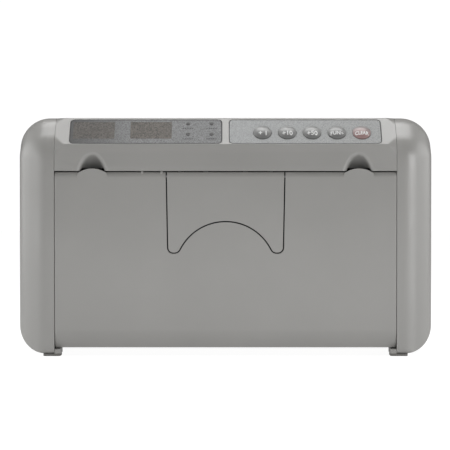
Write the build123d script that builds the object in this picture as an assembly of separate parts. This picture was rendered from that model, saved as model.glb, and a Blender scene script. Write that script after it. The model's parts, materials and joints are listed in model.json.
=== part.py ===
from build123d import *
import math
import os

# Banknote counting machine: a compact counter with a hopper under a top lid and a fold-down front cover.
#
# Frame: millimetres, +X to the right seen from the front, +Y to the rear, +Z up.
# Origin: the bottom centre of the bounding box, on the surface that the feet stand on.
# Each sub-part is written to parts/NODE.step as one or more closed solids.

# ---------------------------------------------------------------- driving dimensions
WIDTH = 300.0  # over both cheeks
DEPTH = 140.0  # front cover face to rear cover face
HEIGHT = 172.0  # flat top above the table
WALL = 2.5  # moulded shell thickness
SEAM_X = 123.2  # inner plane of each cheek
FOOT_H = 1.7  # rubber foot thickness
FOOT_W, FOOT_D = 12.4, 15.0
FOOT_Y = (-61.2, 50.0)
BLOCK_X = 118.9  # inner side of the blocks that carry the feet
FASCIA_BOTTOM = 133.2  # lower edge of the fixed fascia
SLOPE_BOTTOM = 152.3  # height where the fascia meets the 45 degree control slope
CHEEK_EDGE_R = 22.0  # soft outer edge of the cheeks
PROFILE_R = 24.0  # corners of the side profile
TOE_R = 4.0  # the cheeks' lower front edge
CRISP_R = 1.2  # the centre housing's edges at the control slope
BLEND_X = 116.4  # where those edges start to soften towards the cheeks
FIT = 0.05  # radial running clearance of a shaft

# planes of the case, worked out from the driving dimensions
FRONT_Y = -DEPTH / 2
REAR_Y = DEPTH / 2
HALF_W = WIDTH / 2
SLOPE_RUN = HEIGHT - SLOPE_BOTTOM  # the slope is at 45 degrees, so its run equals its rise
SLOPE_TOP_Y = FRONT_Y + SLOPE_RUN
SLOPE_LEN = SLOPE_RUN * math.sqrt(2)
CENTRE_X = SEAM_X - 0.2  # half width of the centre housing
SLOPE = Plane(
    origin=(0, (FRONT_Y + SLOPE_TOP_Y) / 2, (SLOPE_BOTTOM + HEIGHT) / 2),
    x_dir=(1, 0, 0),
    z_dir=(0, -1, 1),
)

# front cover and flap
COVER_X = 122.9
COVER_BOTTOM = 6.0
COVER_TOP = 132.4
COVER_CURVE_R = 20.0  # large curve at the cover's foot
COVER_CURVE_TURN = 40.0  # degrees of that curve
COVER_T = 2.5
COVER_LIP = (4.0, 2.0)  # height and depth of the rounding along the top edge
HINGE_Y, HINGE_Z = -62.4, 14.5  # axis of the front cover
FLAP_TOP_HALF = 42.3  # half width of the flap opening at the top
FLAP_LOW_HALF = 41.1  # and at the lobes
FLAP_LOW_Z = 74.6
ARCH_R = 37.0
ARCH_Z = 60.3  # height of the arch's centre
LOBE_INNER_R, LOBE_OUTER_R = 4.0, 3.6  # corners of the lobes beside the arch
FLAP_GAP = 0.9
FLAP_Y, FLAP_Z = -65.0, 129.4  # axis of the flap
SCOOP_X = 95.8  # thumb scoops and tabs
SCOOP_R = 12.0
SCOOP_TALL = 33.0
SCOOP_TOP = 144.5
SCOOP_LIP = 3.5  # rounding of the scoop's rim
SLOT_HALF, SLOT_TOP = 9.0, 135.2  # slot behind the tab, at the scoop's foot
TAB_R = 17.7
TAB_W = 21.4
TAB_TOP = 135.0

KNOB_Y = -24.0  # adjusting knob, in a cup in the flat top
KNOB_MID = HEIGHT - 2.3
KNOB_R = 7.0

# shafts (y, z) and radii
PICKUP = (17.7, 122.0)
FEED = (-12.0, 103.0)
TRANSPORT = (-18.0, 76.0)
STACKER = (-24.0, 39.0)
PINCH = (-34.6, 76.0)
MOTOR = (38.0, 42.0)
PICKUP_R = 12.0
FEED_R = 16.0
TRANSPORT_R = 10.0
PINCH_R = 6.5
RETARD_R = 10.0
STACKER_R = 27.0
SHAFT_R = 4.0
THIN_SHAFT_R = 3.0
TYRE_T = 3.0  # rubber tyre thickness
BEARING_R = 7.5
NIP_ANGLE = 25.0  # degrees: slope of the note path at the feed nip, and of the hopper tray
RETARD_GAP = 0.2
RETARD = (
    FEED[0] - (FEED_R + RETARD_R + RETARD_GAP) * math.sin(math.radians(NIP_ANGLE)),
    FEED[1] + (FEED_R + RETARD_R + RETARD_GAP) * math.cos(math.radians(NIP_ANGLE)),
)
NIP = (
    FEED[0] - FEED_R * math.sin(math.radians(NIP_ANGLE)),
    FEED[1] + FEED_R * math.cos(math.radians(NIP_ANGLE)),
)

# frame and hopper
PLATE_IN = 101.5  # inner face of the steel side plates
PLATE_T = 1.5
PLATE_OUT = PLATE_IN + PLATE_T
HOPPER_X = 99.0  # outside of the hopper's side walls
HOPPER_FRONT = -12.0
HOPPER_REAR = 39.6
TRAY_TOP = 165.5  # top of the tray's walls, under the mouth
LID_Y, LID_Z = 43.0, 169.0  # lid hinge axis
LID_R = HEIGHT - LID_Z
LID_X = 98.4
CHUTE_LOW = 58.0  # lower edge of the chute behind the note path
SENSOR_X, SENSOR_Z = 66.0, 90.0  # counting sensors, each side of the middle
GUIDE_FEET_Y = (7.0, 31.0)  # slots of the note guides in the tray
FEED_X = 24.0  # pickup, feed and retard rollers, each side of the middle
TRANSPORT_X = 52.0
WHEEL_X = 40.0  # stacker wheels
BASE_Z = 6.0
BASE_T = 2.5

# control panel
PLATE_INNER_X, PLATE_OUTER_X = 2.6, 112.4  # both label plates, from the middle outwards
LABEL_H = 25.0
LABEL_V = -0.5  # up the slope from its middle
LABEL_T = 1.2
LABEL_R = 3.2
KEY_R = 6.5
KEY_PITCH = 17.9
KEY_FIRST_X = 26.7
KEY_V = -1.7  # up the slope from its middle
KEY_RIM = 0.5  # the key's side above the plate
KEY_DOME = 2.1  # and its dome above that
KEY_FLANGE = (-4.6, -3.6)  # levels of the flange that keeps it in
KEY_NAMES = ["key_plus_1", "key_plus_10", "key_plus_50", "key_function", "key_clear"]
KEY_X = [KEY_FIRST_X + KEY_PITCH * i for i in range(len(KEY_NAMES))]
WINDOW_X = [-95.2, -53.8]
WINDOW_V = 0.9
WINDOW_W, WINDOW_H = 30.0, 17.6
LED_X = [-27.2, -10.1]
LED_V = [7.8, -3.2]

# mains switch: its pivot and resting tilt
SWITCH = (-50.0, 60.4, 45.0)
SWITCH_TILT = 10.0

# rear cover screws (x, z)
SCREW_SPOTS = [(sx * 115.0, z) for sx in (-1, 1) for z in (36.0, 82.0, 128.0)]

# vents of the rear cover
VENT_W = 2.2
VENT_PITCH = 6.0
VENT_COUNT = 13
VENT_STARTS = (-102.0, 30.0)  # first slot of each row
VENT_Z = (92.0, 118.0)

# drive train
BELT_T = 1.2
BELT_W = 4.0
BELT_FIT = 0.05
PULLEY_FLANGE = 1.8
FLANGE_T = 0.8
MOTOR_PULLEY_R = 6.0
TRANSPORT_DRIVE_R = 10.0
TRANSPORT_OUT_R = 8.0
STACKER_PULLEY_R = 12.0
FEED_IN_R = 13.0
FEED_OUT_R = 8.0
PICKUP_PULLEY_R = 9.0
LAYER_A = 106.0  # inner edge of the first belt layer, on each side
LAYER_B = 113.0


# ---------------------------------------------------------------- helpers
def box(x0, x1, y0, y1, z0, z1):
    """A box between two corners."""
    return Pos((x0 + x1) / 2, (y0 + y1) / 2, (z0 + z1) / 2) * Box(x1 - x0, y1 - y0, z1 - z0)


def prism_x(face, x0, x1):
    """Extrudes a sketch drawn in (y, z) from x0 to x1."""
    return extrude(Plane.YZ.offset(x0) * face, amount=x1 - x0)


def cyl_x(centre, radius, x0, x1):
    """A cylinder along X about a (y, z) centre."""
    return prism_x(Pos(*centre) * Circle(radius), x0, x1)


def pad(face, level, thick):
    """Extrudes a sketch drawn on the control slope, from level outwards by thick."""
    return extrude(SLOPE.offset(level) * face, amount=thick)


def both_sides(solid):
    """The solid and its mirror image in the middle plane."""
    return [solid, mirror(solid, about=Plane.YZ)]


def polygon(points, radii):
    """A closed (y, z) outline with one radius for each corner."""
    return make_face(FilletPolyline(*points, radius=radii, close=True))


def write(name, shape):
    """Writes one sub-part; a list becomes a group of separate solids."""
    if isinstance(shape, (list, tuple)):
        solids = [s for item in shape for s in item.solids()]
        shape = Compound(children=solids)
    export_step(shape, f"parts/{name}.step")


# ---------------------------------------------------------------- case profiles
def side_profile(inset, crisp):
    """The case seen from the side, inset by a wall. Crisp keeps sharp edges at the control slope."""
    lean = math.tan(math.radians(22.5)) * inset
    front, rear = FRONT_Y + inset, REAR_Y - inset
    low, high = FOOT_H + inset, HEIGHT - inset
    slope_r = CRISP_R if crisp else PROFILE_R
    points = [
        (front, low),
        (front, SLOPE_BOTTOM - lean),
        (SLOPE_TOP_Y + lean, high),
        (rear, high),
        (rear, low),
    ]
    corner_r = [PROFILE_R, slope_r, slope_r, PROFILE_R, PROFILE_R]
    return polygon(points, [max(r - inset, 0.4) for r in corner_r])


def toe(inset):
    """Lower front corner of a cheek: soft in plan and from the front, nearly square from the side."""
    block = box(SEAM_X - (1 if inset else 0), HALF_W - inset, FRONT_Y + inset, -30, FOOT_H + inset, 45)
    outer = block.edges().filter_by(lambda e: e.center().X > HALF_W - inset - 0.1)
    front = block.edges().filter_by(lambda e: e.center().Y < FRONT_Y + inset + 0.1)
    low = block.edges().filter_by(lambda e: e.center().Z < FOOT_H + inset + 0.1)
    plan = fillet([e for e in outer if e in front and e not in low], CHEEK_EDGE_R - inset)
    elevation = fillet([e for e in outer if e in low and e not in front], CHEEK_EDGE_R - inset)
    toe_edges = [e for e in front if e in low and e not in outer]
    return plan & elevation & fillet(toe_edges, max(TOE_R - inset, 1.0))


def cheek():
    """Right end cheek: a soft-edged hollow cap, open towards the middle."""

    def cap(inset):
        slab = prism_x(side_profile(inset, False), SEAM_X - (1 if inset else 0), HALF_W - inset)
        slab = fillet(slab.faces().sort_by(Axis.X)[-1].edges(), CHEEK_EDGE_R - inset)
        return slab + toe(inset)

    shell = cap(0) - cap(WALL)
    bosses = []
    for y, z in ((-48, 24), (50, 30), (50, 140), (-38, 142)):
        boss = cyl_x((y, z), 4.0, SEAM_X + 2, HALF_W - WALL + 0.4) & cap(WALL / 2)
        bosses.append(boss - cyl_x((y, z), 1.4, SEAM_X, HALF_W - 12))
    web = box(SEAM_X + 1, HALF_W, -3, -1, 4, 168) & (cap(WALL / 2) - cap(WALL + 3))
    return shell + bosses + web


def scoop(x, grow):
    """The hollow for a thumb: an ellipsoid whose middle is on the fascia plane."""
    half = Ellipse(SCOOP_R + grow, SCOOP_TALL + grow) & Rectangle(
        50, 100, align=(Align.MIN, Align.CENTER)
    )
    body = Rot(0, 0, -90) * revolve(Plane.XZ * half, Axis.Z)  # its seam points forward, off the fascia
    return Pos(x, FRONT_Y, SCOOP_TOP - SCOOP_TALL) * body


def scoop_cutter(x):
    """The scoop with a soft lip round its rim, and the open slot at its foot."""
    block = box(x - 30, x + 30, FRONT_Y, FRONT_Y + 30, 67, 157)
    rest = block - scoop(x, 0)
    rim = [e for e in rest.edges() if e.geom_type != GeomType.LINE and e.bounding_box().max.Y < FRONT_Y + 0.1]
    slot = box(x - SLOT_HALF, x + SLOT_HALF, FRONT_Y + 2.2, -46, FASCIA_BOTTOM - 1, SLOT_TOP)
    return (block - fillet(rim, SCOOP_LIP)) + slot


def corner_blend(corner, toward_a, toward_b):
    """A tapering cutter that softens one edge of the control slope to the cheek's profile at the right seam.

    toward_a and toward_b are unit (y, z) directions along the two faces that meet at the corner.
    """
    half_turn = math.radians(22.5)
    tangent = PROFILE_R * math.tan(half_turn)
    depth = PROFILE_R * (1 / math.cos(half_turn) - 1)
    inward = Vector(*toward_a) + Vector(*toward_b)
    inward = inward.normalized()
    end_x = CENTRE_X + 1.0
    grow = (end_x - BLEND_X) / (CENTRE_X - BLEND_X)

    def at(direction, distance):
        return Vector(*corner) + direction * (distance * grow)

    start, finish = at(Vector(*toward_a), tangent), at(Vector(*toward_b), tangent)
    outside = at(inward, -3.0)
    outline = [
        ThreePointArc(start, at(inward, depth), finish),
        Line(finish, outside),
        Line(outside, start),
    ]
    return loft([Plane.YZ.offset(end_x) * make_face(outline), Vertex(BLEND_X, *corner)])


def vent_row(x0, count, z0, z1):
    """Upright slots through the rear wall."""
    slot = Box(VENT_W, 12, z1 - z0)
    return [Pos(x0 + VENT_PITCH * i, REAR_Y, (z0 + z1) / 2) * slot for i in range(count)]


def case_band():
    """The centre housing's wall as one closed band round X."""
    return prism_x(side_profile(0, True) - side_profile(WALL, True), -CENTRE_X, CENTRE_X)


def label_recess(sign):
    """Recess and through window behind one label plate."""
    middle = sign * (PLATE_INNER_X + PLATE_OUTER_X) / 2
    width = PLATE_OUTER_X - PLATE_INNER_X
    outline = Pos(middle, LABEL_V) * RectangleRounded(width + 0.6, LABEL_H + 0.6, LABEL_R + 0.3)
    inside = Pos(middle, LABEL_V) * RectangleRounded(width - 5, LABEL_H - 4, LABEL_R)
    return pad(outline, -LABEL_T - 0.1, 6) + pad(inside, -12, 14)


def top_cover():
    """Centre housing: fascia, control slope, flat top with the hopper mouth, and upper rear."""
    band = case_band()
    keep = box(-130, 130, FRONT_Y - 5, 20, FASCIA_BOTTOM, 180) + box(-130, 130, 19, 80, 139.8, 180)
    body = band & keep
    ledge = box(-CENTRE_X, CENTRE_X, FRONT_Y + WALL - 0.5, -47, FASCIA_BOTTOM, FASCIA_BOTTOM + 2)
    gate = box(-HOPPER_X + 0.3, HOPPER_X - 0.3, HOPPER_FRONT - 2, HOPPER_FRONT, 138, HEIGHT - 1)
    body = body + ledge + gate
    mouth = box(-HOPPER_X, HOPPER_X, HOPPER_FRONT, LID_Y + 4.6, HEIGHT - 8, HEIGHT + 5)
    body = body - mouth
    inner = prism_x(side_profile(WALL, True), -CENTRE_X, CENTRE_X)
    above = box(-130, 130, FRONT_Y - 5, 0, FASCIA_BOTTOM, 180)
    lug = box(HOPPER_X, HOPPER_X + 8, LID_Y - 4, LID_Y + 4, LID_Z - 3.6, HEIGHT - 1)
    for ear in both_sides(lug & (inner + band)):
        body = body + ear
    for x in (-SCOOP_X, SCOOP_X):
        body = body + (scoop(x, 2.0) & inner & above)
        body = body - scoop_cutter(x)
    diagonal = math.sqrt(0.5)
    lower = corner_blend((FRONT_Y, SLOPE_BOTTOM), (0, -1), (diagonal, diagonal))
    upper = corner_blend((SLOPE_TOP_Y, HEIGHT), (-diagonal, -diagonal), (1, 0))
    for cutter in both_sides(lower) + both_sides(upper):
        body = body - cutter
    for sign in (-1, 1):
        body = body - label_recess(sign)
    for hole in both_sides(cyl_x((LID_Y, LID_Z), 1.52, HOPPER_X - 2, HOPPER_X + 9)):
        body = body - hole
    body = body + Pos(0, KNOB_Y, HEIGHT - 4.5) * Cylinder(10.0, 5.0)
    body = body - Pos(0, KNOB_Y, HEIGHT - 1.6) * Cylinder(KNOB_R + 0.8, 6.0)
    return body - Pos(0, KNOB_Y, HEIGHT - 6) * Cylinder(2.0 + FIT, 20)


def rear_cover():
    """Rear wall with its vents, inlet and switch openings and countersunk screw seats."""
    body = case_band() & box(-130, 130, 50, 80, 9.0, 139.4)
    for x0 in VENT_STARTS:
        for slot in vent_row(x0, VENT_COUNT, *VENT_Z):
            body = body - slot
    x, _, z = SWITCH
    body = body - box(-93, -65, 60, 80, 34, 56) - box(x - 8.6, x + 8.6, 60, 80, z - 12, z + 12)
    for x, z in SCREW_SPOTS:
        body = body - Pos(x, REAR_Y, z) * Rot(90, 0, 0) * Cylinder(1.7, 12)
        body = body - Pos(x, REAR_Y - 0.6, z) * Rot(90, 0, 0) * Cylinder(3.3, 1.2)
    return body


def case_screws():
    """Six rear cover screws with cross recesses."""
    screws = []
    for x, z in SCREW_SPOTS:
        head = Pos(x, REAR_Y - 0.65, z) * Rot(90, 0, 0) * Cylinder(3.0, 1.0)
        shank = Pos(x, REAR_Y - 6, z) * Rot(90, 0, 0) * Cylinder(1.5, 10.2)
        cross = Pos(x, REAR_Y, z) * (Box(3.6, 1.2, 0.7) + Box(0.7, 1.2, 3.6))
        screws.append(head + shank - cross)
    return screws


def base_plate():
    """Floor of the machine with a block at each corner that carries a foot."""
    plate = box(-CENTRE_X, CENTRE_X, -53, 61, BASE_Z, BASE_Z + BASE_T)
    front_block = polygon(
        [(-69.6, FOOT_H), (-69.6, 5.2), (-53, 5.2), (-53, BASE_Z + 1), (-50, BASE_Z + 1), (-50, FOOT_H)],
        [0.8, 0.8, 0, 0, 0, 0],
    )
    rear_block = polygon([(44, FOOT_H), (44, BASE_Z + 1), (60, BASE_Z + 1), (60, FOOT_H)], 0)
    rails = []
    for block in (front_block, rear_block):
        rails += both_sides(prism_x(block, BLOCK_X, CENTRE_X))
    upstand = box(-98, 98, -41.8, -40.2, BASE_Z, 9.5)
    slots = [box(-30 + 10 * i, -26 + 10 * i, 12, 40, 0, 12) for i in range(7)]
    return plate + rails + upstand - slots


def rubber_feet():
    """Four glued pads under the seams."""
    pad_shape = extrude(RectangleRounded(FOOT_W, FOOT_D, 2), amount=FOOT_H)
    return [Pos(sx * (BLOCK_X + FOOT_W / 2), y, 0) * pad_shape for sx in (-1, 1) for y in FOOT_Y]


# ---------------------------------------------------------------- front cover and flap
def cover_sheet(x_half):
    """The cover's curved wall, with its rounded top edge."""
    turn = math.radians(COVER_CURVE_TURN)
    bend_z = COVER_BOTTOM + COVER_CURVE_R * math.sin(turn)
    centre_y = FRONT_Y + COVER_CURVE_R
    inner_r = COVER_CURVE_R - COVER_T
    tall, deep = COVER_LIP
    lip_r = (tall**2 + deep**2) / (2 * deep)  # the arc that leaves the front face without a crease
    lip_mid = (FRONT_Y + lip_r - math.sqrt(lip_r**2 - (tall / 2) ** 2), COVER_TOP - tall / 2)

    def on_curve(radius, angle):
        return (centre_y - radius * math.cos(angle), bend_z - radius * math.sin(angle))

    outline = [
        Line((FRONT_Y, COVER_TOP - tall), (FRONT_Y, bend_z)),
        ThreePointArc((FRONT_Y, bend_z), on_curve(COVER_CURVE_R, turn / 2), on_curve(COVER_CURVE_R, turn)),
        Line(on_curve(COVER_CURVE_R, turn), on_curve(inner_r, turn)),
        ThreePointArc(on_curve(inner_r, turn), on_curve(inner_r, turn / 2), (FRONT_Y + COVER_T, bend_z)),
        Line((FRONT_Y + COVER_T, bend_z), (FRONT_Y + COVER_T, COVER_TOP)),
        Line((FRONT_Y + COVER_T, COVER_TOP), (FRONT_Y + deep, COVER_TOP)),
        ThreePointArc((FRONT_Y + deep, COVER_TOP), lip_mid, (FRONT_Y, COVER_TOP - tall)),
    ]
    return prism_x(make_face(outline), -x_half, x_half)


def flap_outline(grow):
    """The flap seen from the front: straight sides, two lobes and a finger arch, grown by a gap."""
    top, low = FLAP_TOP_HALF + grow, FLAP_LOW_HALF + grow
    blank = make_face(
        Polyline(
            (-top, COVER_TOP + 5),
            (top, COVER_TOP + 5),
            (low, FLAP_LOW_Z - grow),
            (-low, FLAP_LOW_Z - grow),
            close=True,
        )
    )
    outline = blank - Pos(0, ARCH_Z) * Circle(ARCH_R - grow)
    inner = [v for v in outline.vertices() if v.Y < FLAP_LOW_Z + 1 and abs(v.X) < low - 0.5]
    outline = fillet(inner, LOBE_INNER_R + grow)
    outer = [v for v in outline.vertices() if v.Y < FLAP_LOW_Z + 1 and abs(v.X) > low - 0.5]
    return fillet(outer, LOBE_OUTER_R + grow)


def through_front(face, y0, y1):
    """Extrudes an (x, z) outline from y0 to y1."""
    return extrude(Plane.XZ.offset(-y1) * face, amount=y1 - y0)


def front_cover():
    """Fold-down cover with thumb tabs, flap opening, hinge arms and stiffening ribs."""
    body = cover_sheet(COVER_X)
    side_edges = [e for e in body.edges() | Axis.Z if e.center().Y < FRONT_Y + 0.5 and e.length > 50]
    body = fillet(side_edges, 0.6)
    tab = Pos(SCOOP_X, TAB_TOP - TAB_R) * Circle(TAB_R)
    tab = tab & (Pos(SCOOP_X, COVER_TOP) * Rectangle(TAB_W, 8))
    for piece in both_sides(through_front(tab, FRONT_Y, FRONT_Y + COVER_T)):
        body = body + piece
    body = body - through_front(flap_outline(FLAP_GAP), FRONT_Y - 5, FRONT_Y + 8)
    for x in (-60.0, -46.0):
        body = body + box(x - 0.8, x + 0.8, FRONT_Y + 1.0, FRONT_Y + 2.4, COVER_TOP - 1, COVER_TOP + 0.5)
    rim_y = FRONT_Y + COVER_T - 0.2
    for rib in both_sides(box(117.0, 119.0, rim_y, -63.5, 26, 127)):
        body = body + rib
    body = body + box(-119, 119, rim_y, -64.5, 26, 28)
    for arm in both_sides(hinge_arm()):
        body = body + arm
    ear_x0, ear_x1 = FLAP_TOP_HALF + 1.0, FLAP_TOP_HALF + 8.0
    for ear in both_sides(box(ear_x0, ear_x1, rim_y, FLAP_Y + 2.6, FLAP_Z - 3, FLAP_Z + 3)):
        body = body + ear
    for hole in both_sides(cyl_x((FLAP_Y, FLAP_Z), 1.02, FLAP_TOP_HALF - 2, FLAP_TOP_HALF + 6)):
        body = body - hole
    for hole in both_sides(cyl_x((HINGE_Y, HINGE_Z), 1.5 + FIT, 103.5, 110)):
        body = body - hole
    return body


def hinge_arm():
    """Right arm that carries the cover on its hinge pin."""
    points = [(-68.2, 11.5), (-68.2, 26), (-64.5, 26), (HINGE_Y + 1.5, 17), (HINGE_Y, 12)]
    plate = polygon(points, [0, 0, 1, 1, 0])
    return prism_x(plate, 104.2, 107.2) + cyl_x((HINGE_Y, HINGE_Z), 3.4, 104.2, 107.2)


def stop_flap():
    """Flap set in the cover, with its barrel on the inner side."""
    sheet = cover_sheet(60)
    body = sheet & through_front(flap_outline(0), FRONT_Y - 1, FRONT_Y + COVER_T)
    for x0, x1 in ((-40.5, -29), (-17, 17), (29, 40.5)):
        barrel = cyl_x((FLAP_Y, FLAP_Z), 2.3, x0, x1)
        foot = box(x0, x1, FRONT_Y + COVER_T - 0.3, FLAP_Y, FLAP_Z - 2.3, FLAP_Z + 1.8)
        body = body + barrel + foot
    ring = Pos(0, ARCH_Z) * (Circle(ARCH_R + 3.2) - Circle(ARCH_R + 1.6))
    rib = through_front(ring, FRONT_Y + COVER_T - 0.2, -66)
    body = body + (rib & box(-34, 34, -70, -60, 85, 110))
    return body - cyl_x((FLAP_Y, FLAP_Z), 1.0 + FIT, -45, 45)


def flap_springs():
    """Two small torsion springs on the flap's pin, each a stack of wound turns."""
    turns = []
    for side in (-1, 1):
        for i in range(7):
            x = side * 23 + (i - 3) * 1.05
            turns.append(Pos(x, FLAP_Y, FLAP_Z) * Rot(0, 90, 0) * Torus(1.55, 0.42))
    return turns


# ---------------------------------------------------------------- hopper
def tray_point(distance, drop):
    """A point by the hopper tray: distance up the slope from the nip, drop below the note path."""
    a = math.radians(NIP_ANGLE)
    return (
        NIP[0] + distance * math.cos(a) + drop * math.sin(a),
        NIP[1] + distance * math.sin(a) - drop * math.cos(a),
    )


def hopper_lid():
    """Lid that becomes the note support when it stands open."""
    lid_front = HOPPER_FRONT + 0.6
    body = box(-LID_X, LID_X, lid_front, LID_Y, HEIGHT - 2.5, HEIGHT)
    body = body + cyl_x((LID_Y, LID_Z), LID_R, -LID_X, LID_X)
    rib = box(-LID_X + 8, LID_X - 8, HOPPER_FRONT + 6, HOPPER_FRONT + 8, HEIGHT - 4, HEIGHT - 2)
    pull = Pos(0, lid_front, HEIGHT) * Box(30, 5, 2.4)
    body = body + rib - pull
    for hole in both_sides(cyl_x((LID_Y, LID_Z), 1.5 + FIT, LID_X - 12, LID_X + 2)):
        body = body - hole
    return body


def hinge_pins():
    """Four steel pins: two for the lid, two for the front cover."""
    lid = both_sides(cyl_x((LID_Y, LID_Z), 1.5, LID_X - 11, HOPPER_X + 7))
    cover = both_sides(cyl_x((HINGE_Y, HINGE_Z), 1.5, PLATE_IN, 108.0))
    return lid + cover


def path_sheet(x0, x1, inner, outer):
    """The sheet under the note path: flat hopper floor, curve round the feed roller, then straight down."""
    upper, under = FEED_R - outer, FEED_R - inner
    corners = [tray_point(0, upper), tray_point(62, upper), tray_point(62, under), tray_point(0, under)]
    floor = polygon(corners, 0)
    bend = Pos(*FEED) * (Circle(outer) - Circle(inner))
    sector = make_face(
        Polyline(
            FEED,
            tray_point(0, -FEED_R),
            (FEED[0] - 3 * FEED_R, FEED[1] + 3 * FEED_R),
            (FEED[0] - 3 * FEED_R, FEED[1]),
            close=True,
        )
    )
    drop = make_face(
        Polyline(
            (FEED[0] - outer, FEED[1]),
            (FEED[0] - outer, CHUTE_LOW),
            (FEED[0] - inner, CHUTE_LOW),
            (FEED[0] - inner, FEED[1]),
            close=True,
        )
    )
    return prism_x(floor, x0, x1) + prism_x(bend & sector, x0, x1) + prism_x(drop, x0, x1)


def floor_height(y):
    """Height of the note path over the hopper tray at a depth y."""
    return NIP[1] + (y - NIP[0]) * math.tan(math.radians(NIP_ANGLE))


def feed_tray():
    """Hopper tray, its side and rear walls, and the lower chute, moulded in one."""
    body = path_sheet(-HOPPER_X, HOPPER_X, FEED_R - 2.9, FEED_R - 0.7)
    foot_z = floor_height(HOPPER_REAR) - 7
    front = NIP[0] + 8
    wall_points = [(front, 108), (front, TRAY_TOP), (HOPPER_REAR, TRAY_TOP), (HOPPER_REAR, foot_z)]
    wall = polygon(wall_points, [0, 2, 0, 0])
    web_front, web_rear = FEED[0] - 14, FEED[0] - 9
    web_points = [
        (web_front, CHUTE_LOW),
        (web_front, 110),
        (NIP[0] + 10, 114),
        (web_rear, 92),
        (web_rear, CHUTE_LOW),
    ]
    side = prism_x(wall, HOPPER_X - 2, HOPPER_X) + prism_x(polygon(web_points, 0), HOPPER_X - 2, HOPPER_X)
    for wing in both_sides(side):
        body = body + wing
    body = body + box(-HOPPER_X, HOPPER_X, HOPPER_REAR - 2, HOPPER_REAR, foot_z, TRAY_TOP)
    for spot in ((28, 150), (-4, 136), (-23, 62)):
        for lug in both_sides(cyl_x(spot, 2.5, HOPPER_X - 1, PLATE_IN)):
            body = body + lug
    for x in (-FEED_X, FEED_X):
        body = body - cyl_x(PICKUP, PICKUP_R + 1, x - 9, x + 9)
        body = body - cyl_x(FEED, FEED_R + 1, x - 9.5, x + 9.5)
    for x in (-TRANSPORT_X, TRANSPORT_X):
        body = body - cyl_x(TRANSPORT, TRANSPORT_R + 1.2, x - 8.5, x + 8.5)
    for x in (-WHEEL_X, WHEEL_X):
        body = body - cyl_x(STACKER, STACKER_R + 1, x - 7.5, x + 7.5)
    for x in (-SENSOR_X, SENSOR_X):
        body = body - Pos(x, FEED[0] - 14, SENSOR_Z) * Rot(90, 0, 0) * Cylinder(1.6, 8)
    for clear, radius in ((FEED, SHAFT_R), (TRANSPORT, SHAFT_R), (PICKUP, THIN_SHAFT_R)):
        body = body - cyl_x(clear, radius + 1.2, -130, 130)
    for slot_y in GUIDE_FEET_Y:
        floor_z = floor_height(slot_y)
        body = body - both_sides(box(66, 95, slot_y - 1.8, slot_y + 1.8, floor_z - 6, floor_z + 3))
    return body


def note_guide():
    """Right-hand side guide with two feet through the tray's slots."""
    low, high = tray_point(22, -0.2), tray_point(61, -0.2)
    blade = polygon([low, (low[0], 164), (high[0], 164), high], [0, 3, 3, 0])
    body = prism_x(blade, 91.5, 93.3)
    for slot_y in GUIDE_FEET_Y:
        floor_z = floor_height(slot_y)
        body = body + box(91.5, 93.3, slot_y - 1.3, slot_y + 1.3, floor_z - 5.4, floor_z + 2)
    return body


def adjust_knob():
    """Thickness adjusting knob, sunk in the top, on its threaded stem."""
    grip = Pos(0, KNOB_Y, KNOB_MID) * Cylinder(KNOB_R, 4.2)
    flute = Pos(KNOB_R + 0.2, 0, KNOB_MID) * Cylinder(0.7, 6)
    flutes = [Pos(0, KNOB_Y, 0) * Rot(0, 0, 24 * i) * flute for i in range(15)]
    slot = Pos(0, KNOB_Y, HEIGHT - 0.6) * Box(9, 1.6, 1.6)
    stem = Pos(0, KNOB_Y, (KNOB_MID + 136) / 2) * Cylinder(2.0, KNOB_MID - 136)
    return grip - flutes - slot + stem


# ---------------------------------------------------------------- control panel
def label_plate(sign):
    """Blank label plate of one side."""
    middle = sign * (PLATE_INNER_X + PLATE_OUTER_X) / 2
    outline = Pos(middle, LABEL_V) * RectangleRounded(PLATE_OUTER_X - PLATE_INNER_X, LABEL_H, LABEL_R)
    return pad(outline, -LABEL_T - 0.1, LABEL_T)


def display_plate():
    """Left label plate with two window openings and four indicator holes."""
    body = label_plate(-1)
    for x in WINDOW_X:
        body = body - pad(Pos(x, WINDOW_V) * RectangleRounded(WINDOW_W, WINDOW_H, 0.8), -3, 6)
    for x in LED_X:
        for v in LED_V:
            body = body - pad(Pos(x, v) * Circle(1.5), -3, 6)
    return body


def display_windows():
    """Two smoked windows, flush in the display plate."""
    shape = RectangleRounded(WINDOW_W - 0.1, WINDOW_H - 0.1, 0.75)
    return [pad(Pos(x, WINDOW_V) * shape, -LABEL_T - 0.1, LABEL_T - 0.05) for x in WINDOW_X]


def indicator_leds():
    """Four small round indicators."""
    leds = []
    for x in LED_X:
        for v in LED_V:
            leds.append(pad(Pos(x, v) * Circle(1.4), -8.4, 8.5))
    return leds


def key_plate():
    """Right label plate with five key holes."""
    body = label_plate(1)
    for x in KEY_X:
        body = body - pad(Pos(x, KEY_V) * Circle(KEY_R + 0.2), -3, 6)
    return body


def key(x):
    """One domed key with its retaining flange and stem."""
    low, high = KEY_FLANGE
    dome_r = (KEY_R**2 + KEY_DOME**2) / (2 * KEY_DOME)
    profile = make_face(
        [
            Line((0, low), (KEY_R + 1, low)),
            Line((KEY_R + 1, low), (KEY_R + 1, high)),
            Line((KEY_R + 1, high), (KEY_R, high)),
            Line((KEY_R, high), (KEY_R, KEY_RIM)),
            RadiusArc((KEY_R, KEY_RIM), (0, KEY_RIM + KEY_DOME), -dome_r),
            Line((0, KEY_RIM + KEY_DOME), (0, low)),
        ]
    )
    body = revolve(Plane.XZ * profile, Axis.Z)
    return SLOPE * Pos(x, KEY_V, 0) * body


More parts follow.
